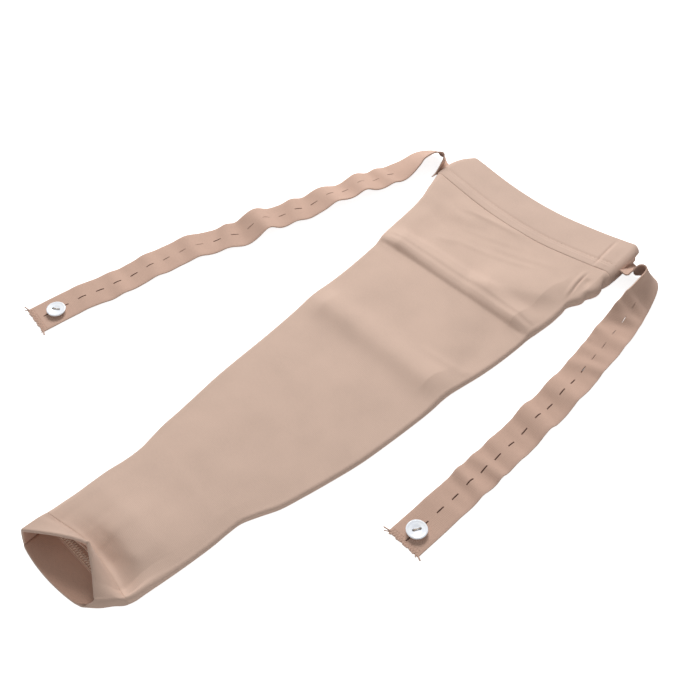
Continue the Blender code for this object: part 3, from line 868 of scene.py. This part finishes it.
def tube_shell(name, grid, wall, material, lining=None):
    """A closed wall under a ring grid, its two open ends rounded over."""
    normal, along = outward(grid)
    turns = np.radians([30, 60, 90, 120, 150])[:, None, None]

    def rim(row, side):
        centre = grid[row] - normal[row] * wall / 2
        return centre + (normal[row] * np.cos(turns) + side * along[row] * np.sin(turns)) * wall / 2

    inner = grid - normal * wall
    rows = np.concatenate([grid, rim(-1, 1.0), inner[::-1], rim(0, -1.0)[::-1]])
    thing = grid_mesh(name, rows, material)
    if lining is not None:
        thing.data.materials.append(lining)
        around = grid.shape[1]
        first = (len(grid) + len(turns) - 1) * around
        side = np.zeros(len(thing.data.polygons), np.int32)
        side[first:first + (len(grid) + 1) * around] = 1
        thing.data.polygons.foreach_set("material_index", side)
    return thing


def grid_mesh(name, rows, material):
    """A closed mesh on rows of points that join up both ways, with its cloth measured out in mm."""
    count, around, _ = rows.shape
    index = np.pad(np.arange(count * around).reshape(count, around), (0, 1), mode="wrap")
    u = np.pad(np.cumsum(steps_along(rows, 1), axis=1), ((0, 0), (1, 0)))
    v = np.pad(np.cumsum(steps_along(rows, 0), axis=0), ((1, 0), (0, 0)))
    middle = UNDERSIDE_COLUMNS + FOLD_COLUMNS + (FINE_COLUMNS + PLAIN_COLUMNS) // 2
    u = u - u[:, middle][:, None]
    cloth = np.stack([np.concatenate([u, u[:1]]), np.concatenate([v, v[:, :1]], axis=1)], axis=-1)
    faces = cell_corners(index).reshape(-1, 4).tolist()
    return mesh_object(name, rows.reshape(-1, 3), faces, material, cell_corners(cloth))


def cell_corners(grid):
    """The values at the four corners of each cell of a grid, in order round it."""
    return np.stack([grid[:-1, :-1], grid[1:, :-1], grid[1:, 1:], grid[:-1, 1:]], axis=2)


def steps_along(points, axis):
    """How far each point of a closed loop is from the next."""
    return np.linalg.norm(np.roll(points, -1, axis=axis) - points, axis=-1)


def mesh_object(name, points, faces, material, uv=None):
    mesh = bpy.data.meshes.new(name)
    mesh.from_pydata((np.array(points) * MM).tolist(), [], faces)
    if uv is not None:
        layer = mesh.uv_layers.new(name="cloth")
        layer.uv.foreach_set("vector", np.ascontiguousarray(uv, np.float32).ravel())
    mesh.materials.append(material)
    mesh.shade_smooth()
    return put(name, mesh)


def modify(thing, kind, **settings):
    set_all(thing.modifiers.new(kind.lower(), kind), settings)


def apply_modifiers(thing):
    bpy.context.view_layer.update()
    graph = bpy.context.evaluated_depsgraph_get()
    mesh = bpy.data.meshes.new_from_object(thing.evaluated_get(graph))
    thing.modifiers.clear()
    thing.data = mesh


# ---------------- seams and threads

def ring_at(place, depth):
    """The closed loop of points round the tube at a ring place, this deep under its outer face."""
    grid = tube_grid(np.array([place - 0.5, place, place + 0.5]))
    normal, _ = outward(grid)
    return grid[1] - normal[1] * depth


def resample(loop, shares):
    """Points at shares of the way round a closed loop."""
    closed = np.concatenate([loop, loop[:1]])
    run = np.pad(np.cumsum(steps_along(loop, 0)), (1, 0))
    at = shares * run[-1]
    return np.stack([np.interp(at, run, closed[:, k]) for k in range(3)], axis=-1)


def threads(name, strands, material, sides=6):
    """Many short lengths of thread as one mesh: each a tube along its path, rounded at both ends.
    A strand is a path and a radius."""
    turns = 2 * math.pi * np.arange(sides)[:, None] / sides
    points = []
    faces = []
    base = 0
    for path, radius in strands:
        path = np.array(path, float)
        along = unit(np.gradient(path, axis=0))
        side = unit(np.cross(along, [0.0, 0.0, 1.0]) + 1e-6)[:, None]
        lift = unit(np.cross(side, along[:, None]))
        around = radius * (side * np.cos(turns) + lift * np.sin(turns))
        cap = along * radius * CAP_LENGTH
        start = path[:1, None] - cap[:1, None] + CAP_WIDTH * around[:1]
        end = path[-1:, None] + cap[-1:, None] + CAP_WIDTH * around[-1:]
        points += [start, path[:, None] + around, end]
        index = base + np.arange((len(path) + 2) * sides).reshape(-1, sides)
        wrapped = np.pad(index, ((0, 0), (0, 1)), mode="wrap")
        faces += cell_corners(wrapped)[:, :, [0, 3, 2, 1]].reshape(-1, 4).tolist()
        faces += [index[0, ::-1].tolist(), index[-1].tolist()]
        base += index.size
    return mesh_object(name, np.concatenate(points).reshape(-1, 3), faces, material)


def ring_stitches(name, place, material):
    """A row of lockstitches all round the tube, each dipping into the cloth at its ends."""
    sunk = ring_at(place, 1.6 * THREAD_RADIUS)
    proud = ring_at(place, -0.1 * THREAD_RADIUS)
    count = round(steps_along(sunk, 0).sum() / (STITCH_LENGTH + STITCH_GAP))
    fill = STITCH_LENGTH / (STITCH_LENGTH + STITCH_GAP)
    rise = np.array([0.0, 0.8, 1.0, 0.8, 0.0])[:, None]
    strands = []
    for i in range(count):
        shares = (i + fill * np.array([0.0, 0.25, 0.5, 0.75, 1.0])) / count
        path = between(resample(sunk, shares), resample(proud, shares), rise)
        if path[:, 2].min() > THREAD_RADIUS:
            strands.append((path, THREAD_RADIUS))
    return threads(name, strands, material)


def seam_allowance(name, material):
    """The trimmed edges inside the cuff seam, lying back against the cuff's inner face."""
    grid = tube_grid(np.linspace(ALLOWANCE_LOW, ALLOWANCE_LOW + ALLOWANCE_WIDTH, 8))
    normal, _ = outward(grid)
    return tube_shell(name, grid - normal * (BAND_WALL + 0.05), ALLOWANCE_WALL, material)


def overlock_threads(name, material):
    """Overlocking round the trimmed edge: a needle line, and loops that zigzag over the edge."""
    depth = BAND_WALL + ALLOWANCE_WALL + 0.15
    needle = ring_at(ALLOWANCE_LOW + OVERLOCK_NEEDLE, depth)
    inner = ring_at(ALLOWANCE_LOW + OVERLOCK_INNER, depth + 0.1)
    edge = ring_at(ALLOWANCE_LOW + OVERLOCK_EDGE, depth + 0.1)
    stitches = round(steps_along(needle, 0).sum() / OVERLOCK_STITCH)
    paths = [resample(needle, (i + np.array([0.0, 0.4, 0.8])) / stitches) for i in range(stitches)]
    loops = round(steps_along(edge, 0).sum() / OVERLOCK_LOOP)
    starts = resample(inner, np.arange(loops + 1) % loops / loops)
    tips = resample(edge, (np.arange(loops) + 0.45) / loops)
    for start, tip, back in zip(starts, tips, starts[1:]):
        paths += [[start, (start + tip) / 2, tip], [tip, (tip + back) / 2, back]]
    return threads(name, [(path, OVERLOCK_RADIUS) for path in paths], material, sides=5)


# ---------------- straps

class Strap:
    """A band of elastic along its stations, measured in mm from its cut end."""

    def __init__(self, stations):
        table = np.array(stations[::-1], float)
        azimuth, tilt = np.radians(table[:, 3:]).T
        across = [np.cos(tilt) * np.cos(azimuth), np.cos(tilt) * np.sin(azimuth), np.sin(tilt)]
        self.table = np.column_stack([np.arange(len(table)), table[:, :3], *across])
        fine = smooth_rows(self.table, np.linspace(0, len(table) - 1, 60 * len(table)))
        steps = np.linalg.norm(np.diff(fine[:, 1:4], axis=0), axis=1)
        self.at = fine[:, 0]
        self.run = np.pad(np.cumsum(steps), (1, 0))
        self.length = float(self.run[-1])

    def rows_at(self, runs):
        return smooth_rows(self.table, np.interp(runs, self.run, self.at))

    def frames(self, runs):
        """Centres, unit vectors across and unit normals at lengths along the strap."""
        rows = self.rows_at(runs)
        centre = rows[:, 1:4]
        across = unit(rows[:, 4:7])
        ahead = self.rows_at(np.minimum(runs + 0.7, self.length))
        behind = self.rows_at(np.maximum(runs - 0.7, 0.0))
        normal = unit(np.cross(unit(ahead[:, 1:4] - behind[:, 1:4]), across))
        first = self.rows_at(np.array([0.0, 1.0]))
        flip = np.sign(np.cross(first[1, 1:4] - first[0, 1:4], first[0, 4:7])[2])
        return centre, across, normal * flip


def wave_height(waves, run, offset):
    """How far the waves lift the elastic, at lengths from its cut end and beside its middle."""
    total = np.zeros(np.broadcast(run, offset).shape)
    for wave in waves:
        total += wave.height * hump((run - wave.at - wave.lean * offset) / wave.width)
    return total


def cockle(run, offset, seed):
    """Small uneven waves, mostly straight across the strap."""
    draw = random.Random(seed)
    total = np.zeros(np.broadcast(run, offset).shape)
    for _ in range(COCKLES):
        length = draw.uniform(COCKLE_SHORTEST, COCKLE_LONGEST)
        lean = draw.uniform(-COCKLE_LEAN, COCKLE_LEAN)
        phase = draw.uniform(0.0, 2 * math.pi)
        total += COCKLE_HEIGHT * np.sin(2 * math.pi * (run - lean * offset) / length + phase)
    return total


def strap_grid(strap, holes, waves, gather):
    """Lengths along a strap, places across it and its points, rows by columns. The two middle
    columns run along the buttonholes' edges."""
    marks = sorted([0.0, strap.length] + holes + [start + HOLE_LENGTH for start in holes])
    runs = []
    for low, high in zip(marks, marks[1:]):
        steps = max(4, round((high - low) / STRAP_STEP))
        runs += [low + (high - low) * i / steps for i in range(steps)]
    runs = np.array(runs + [strap.length])
    share = np.linspace(0.0, 1.0, STRAP_COLUMNS)[None, :] ** STRAP_BUNCHING
    slit = np.full(len(runs), RIB_GAP)
    lips = np.zeros(len(runs))
    for start in holes:
        t = (runs - start) / HOLE_LENGTH
        open_here = (t >= 0.0) & (t <= 1.0)
        arch = np.sin(math.pi * np.clip(t, 0.0, 1.0))
        slit = np.where(open_here, SLIT_SHUT + SLIT_WIDTH / 2 * np.sqrt(arch), slit)
        lips = np.maximum(lips, np.where(open_here, LIP_HEIGHT * arch, 0.0))
    right = between(slit[:, None], STRAP_WIDTH / 2, share)
    columns = np.concatenate([-right[:, ::-1], right], axis=1)
    centre, across, normal = strap.frames(runs)
    narrowing = 1.0 - (1.0 - gather.share) * ease((runs - strap.length + gather.length) / gather.length)
    reach = np.where(columns * gather.side > 0.0, columns * narrowing[:, None], columns)
    points = centre[:, None, :] + across[:, None, :] * reach[:, :, None]
    loose = np.minimum(runs - COCKLE_END, strap.length - COCKLE_ROOT - runs) / COCKLE_FADE
    points[:, :, 2] += WAVE_GAIN * wave_height(waves, runs[:, None], columns)
    points[:, :, 2] += np.clip(loose, 0.0, 1.0)[:, None] * cockle(runs[:, None], columns, len(runs))
    points += normal[:, None, :] * (lips[:, None] * hump(columns / LIP_WIDTH))[:, :, None]
    tongue = points[-1:] + (points[-1:] - points[-2:-1]) * TONGUE / STRAP_STEP
    runs = np.concatenate([runs, [strap.length + TONGUE]])
    return runs, np.concatenate([columns, columns[-1:]]), np.concatenate([points, tongue])


def strap_piece(name, stations, waves, first_hole, gather, materials):
    """A strap's elastic with its buttonholes, its gathered root and the tongue sewn into the band.
    Its materials are its face's and its back's; the back's is a darker copy of the elastic, painted shade."""
    strap = Strap(stations)
    last_hole = strap.length - HOLE_FREE_ROOT - HOLE_LENGTH
    holes = np.arange(first_hole, last_hole, HOLE_PITCH).tolist()
    runs, columns, points = strap_grid(strap, holes, waves, gather)
    middles = (runs[1:] + runs[:-1]) / 2
    kept = np.ones((len(middles), columns.shape[1] - 1), bool)
    for start in holes:
        kept[(middles > start) & (middles < start + HOLE_LENGTH), STRAP_COLUMNS - 1] = False
    faces_down = np.cross(points[0, -1] - points[0, 0], points[1, 0] - points[0, 0])[2] < 0.0
    order = [1, 2, 3, 0] if faces_down else [0, 3, 2, 1]
    index = np.arange(columns.size).reshape(columns.shape)
    faces = cell_corners(index)[:, :, order][kept].tolist()
    cloth = np.stack([columns, np.broadcast_to(runs[:, None] - first_hole, columns.shape)], axis=-1)
    uv = cell_corners(cloth)[:, :, order][kept]
    thing = mesh_object(name, points.reshape(-1, 3), faces, materials[0], uv)
    thing.data.materials.append(materials[1])
    modify(thing, "SOLIDIFY", material_offset=1, thickness=ELASTIC_WALL * MM, offset=0.0)
    angle = math.radians(BEVEL_ANGLE)
    modify(thing, "BEVEL", width=ELASTIC_BEVEL * MM, segments=2, limit_method="ANGLE", angle_limit=angle)
    apply_modifiers(thing)
    return thing


def frayed_end(name, stations, frays, material):
    """A strap's cut end: its uneven edge, the zigzag that binds it and loose threads at the corners."""
    strap = Strap(stations)
    centre, across, _ = strap.frames(np.array([0.0, 1.0, 2.0]))
    back = unit(centre[0] - centre[1])
    strands = []
    for fray in frays:
        start = centre[1] + across[0] * fray.across
        tip = centre[0] + across[0] * (fray.across + fray.swing) + back * fray.reach
        tip[2] = fray.tip
        bend = (start + tip) / 2 + back * 0.3 * fray.reach
        bend[2] = (start[2] + fray.tip) / 2 + 0.2
        strands.append((curve(start, bend, tip, 6), fray.radius))
    half_turns = round(STRAP_WIDTH / 2 / END_STITCH_STEP) - 1
    turns = np.arange(-half_turns, half_turns + 1)
    bound, bound_across, bound_up = strap.frames(np.where(turns % 2 == 0, 0.1, END_STITCH_DEPTH))
    zigzag = bound + bound_across * (turns * END_STITCH_STEP)[:, None] + bound_up * ELASTIC_WALL * 0.5
    for a, b in zip(zigzag, zigzag[1:]):
        strands.append(([a, (a + b) / 2, b], END_STITCH_RADIUS))
    turns = np.arange(-half_turns, half_turns, 2)
    row, row_across, row_up = strap.frames(np.full(len(turns), END_STITCH_DEPTH + 0.5))
    for place, side, up, turn in zip(row, row_across, row_up, turns):
        start = place + side * turn * END_STITCH_STEP + up * ELASTIC_WALL * 0.5
        stitch = [start + side * share * END_STITCH_STEP for share in (0.0, 0.6, 1.4)]
        strands.append((stitch, END_STITCH_RADIUS))
    side = np.linspace(-STRAP_WIDTH / 2, STRAP_WIDTH / 2, 25)[:, None]
    wander = 0.25 * np.sin(1.3 * side) + 0.2 * np.sin(2.9 * side + 1.0)
    strands.append((centre[0] + across[0] * side + back * wander, ELASTIC_WALL * 0.55))
    return threads(name, strands, material)


# ---------------- buttons

def button_piece(name, node, turned, material):
    """A turned two-hole button with a raised rim, centred on its place in the frame."""
    low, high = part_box(node)
    centre = (low + high) / 2
    radius = (high.x - low.x) / 2
    mesh = bpy.data.meshes.new(name)
    points = [(share * radius, 0.0, height * MM) for share, height in BUTTON_PROFILE]
    mesh.from_pydata(points, [(i, i + 1) for i in range(len(points) - 1)], [])
    mesh.materials.append(material)
    thing = put(name, mesh)
    thing.location = (centre.x, centre.y, low.z)
    modify(
        thing, "SCREW", axis="Z", steps=BUTTON_STEPS, render_steps=BUTTON_STEPS, use_merge_vertices=True,
        merge_threshold=0.00001, use_smooth_shade=True,
    )
    angle = math.radians(turned)
    way = Vector((math.cos(angle), math.sin(angle), 0.0)) * BUTTON_HOLE_SPACING / 2 * MM
    cutters = []
    for side in (-1, 1):
        bpy.ops.mesh.primitive_cylinder_add(vertices=24, radius=BUTTON_HOLE_RADIUS * MM, depth=12 * MM)
        cutters.append(bpy.context.object)
        cutters[-1].location = centre + side * way
        modify(thing, "BOOLEAN", operation="DIFFERENCE", object=cutters[-1])
    apply_modifiers(thing)
    for cutter in cutters:
        bpy.data.objects.remove(cutter, do_unlink=True)
    thing.data.shade_smooth()
    thing.data.set_sharp_from_angle(angle=math.radians(BUTTON_SHARP))
    return thing


def button_thread(name, node, turned, material):
    """Strands of thread from hole to hole over the button's middle."""
    low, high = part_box(node)
    centre = (low + high) / (2 * MM)
    bottom = low.z / MM
    seat = bottom + BUTTON_BED
    reach = BUTTON_HOLE_SPACING / 2
    angle = math.radians(turned)
    along = np.array([math.cos(angle), math.sin(angle), 0.0])
    aside = np.array([-math.sin(angle), math.cos(angle), 0.0])
    strands = []
    for start, end, lift in ((-0.3, 0.25, 0.3), (0.05, -0.1, 0.38), (0.3, 0.0, 0.26)):
        path = []
        for share, side, z in (
            (-1.05, start, bottom - 0.2), (-1.0, start, seat - 0.3), (-0.75, start, seat + lift),
            (0.0, (start + end) / 2, seat + lift + 0.1), (0.75, end, seat + lift),
            (1.0, end, seat - 0.3), (1.05, end, bottom - 0.2),
        ):
            place = along * share * reach + aside * side
            path.append((centre.x + place[0], centre.y + place[1], z))
        strands.append((path, THREAD_RADIUS))
    return threads(name, strands, material)


# ---------------- the object

bpy.context.scene.view_settings.view_transform = "Standard"
make_camera()
make_world()
make_light("key", **KEY_LIGHT)
make_light("fill", **FILL_LIGHT)
make_floor()

knit = cloth_material("knit_looks", KNIT_COLOUR, KNIT)
band = cloth_material("band_looks", BAND_COLOUR, KNIT)
cuff_knit = cloth_material("cuff_looks", CUFF_COLOUR, KNIT)
# these two elastics carry the shade painted along their buttonholes
elastic_left = cloth_material("elastic_left_slit_shade_looks", ELASTIC_COLOUR, ELASTIC, SLIT_SHADE_LEFT)
elastic_right = cloth_material("elastic_right_slit_shade_looks", ELASTIC_COLOUR, ELASTIC, SLIT_SHADE_RIGHT)
# painted shade: the elastic's back face is a darker copy of its front
elastic_back_shaded = cloth_material("elastic_back_shaded_looks", ELASTIC_BACK_SHADED_COLOUR, ELASTIC)
inside = cloth_material("inner_face_looks", INSIDE_COLOUR, INNER_FACE)
pale_thread = thread_material("pale_thread_looks", PALE_THREAD_COLOUR)
pearl = shell_button_material("button_looks")
thread = thread_material("thread_looks", THREAD_COLOUR)
elastic_thread = thread_material("elastic_thread_looks", ELASTIC_COLOUR)
tan_thread = thread_material("button_thread_looks", TAN_COLOUR)

body_places = []
low = CUFF_SEAM + BODY_END_GAP
for high, step in BODY_STEPS:
    body_places.append(stretch(low, high, step))
    low = high
body_places = np.unique(np.concatenate(body_places))
cuff_places = stretch(CUFF_RINGS[0].y, CUFF_SEAM - BAND_END_GAP)
band_places = stretch(BAND_SEAM + BAND_END_GAP, BAND_RINGS[-1].y, BAND_STEP)
cuff = tube_shell("cuff_band_knit", tube_grid(cuff_places), BAND_WALL, cuff_knit, inside)
body = tube_shell("sleeve_body_knit", tube_grid(body_places), KNIT_WALL, knit, inside)
top = tube_shell("top_band_knit", tube_grid(band_places), BAND_WALL, band, inside)
allowance = seam_allowance("cuff_seam_allowance", inside)
overlock = overlock_threads("cuff_overlock_threads", pale_thread)
topstitch = ring_stitches("band_topstitching", BAND_STITCH_ROW, thread)
strap_left = strap_piece(
    "strap_left_elastic", STRAP_LEFT, WAVES_LEFT, FIRST_HOLE_LEFT, GATHER_LEFT, [elastic_left, elastic_back_shaded]
)
strap_right = strap_piece(
    "strap_right_elastic", STRAP_RIGHT, WAVES_RIGHT, FIRST_HOLE_RIGHT, GATHER_RIGHT,
    [elastic_right, elastic_back_shaded],
)
frayed_left = frayed_end("strap_left_frayed_end", STRAP_LEFT, FRAYS_LEFT, elastic_thread)
frayed_right = frayed_end("strap_right_frayed_end", STRAP_RIGHT, FRAYS_RIGHT, elastic_thread)
button_left = button_piece("button_left_turned", "button_left", BUTTON_TURN_LEFT, pearl)
button_right = button_piece("button_right_turned", "button_right", BUTTON_TURN_RIGHT, pearl)
tied_left = button_thread("button_left_thread", "button_left", BUTTON_TURN_LEFT, tan_thread)
tied_right = button_thread("button_right_thread", "button_right", BUTTON_TURN_RIGHT, tan_thread)

for node, slot, pieces in (
    ("cuff_band", "beige_knit_band", (cuff, allowance, overlock)),
    ("sleeve_body", "beige_knit", (body,)),
    ("top_band", "beige_knit_band", (top, topstitch)),
    ("strap_left", "beige_elastic", (strap_left, frayed_left)),
    ("strap_right", "beige_elastic", (strap_right, frayed_right)),
    ("button_left", "white_button", (button_left,)),
    ("button_right", "white_button", (button_right,)),
    ("button_left", "beige_elastic", (tied_left,)),
    ("button_right", "beige_elastic", (tied_right,)),
):
    for piece in pieces:
        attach(piece, BODY)
        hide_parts(node)
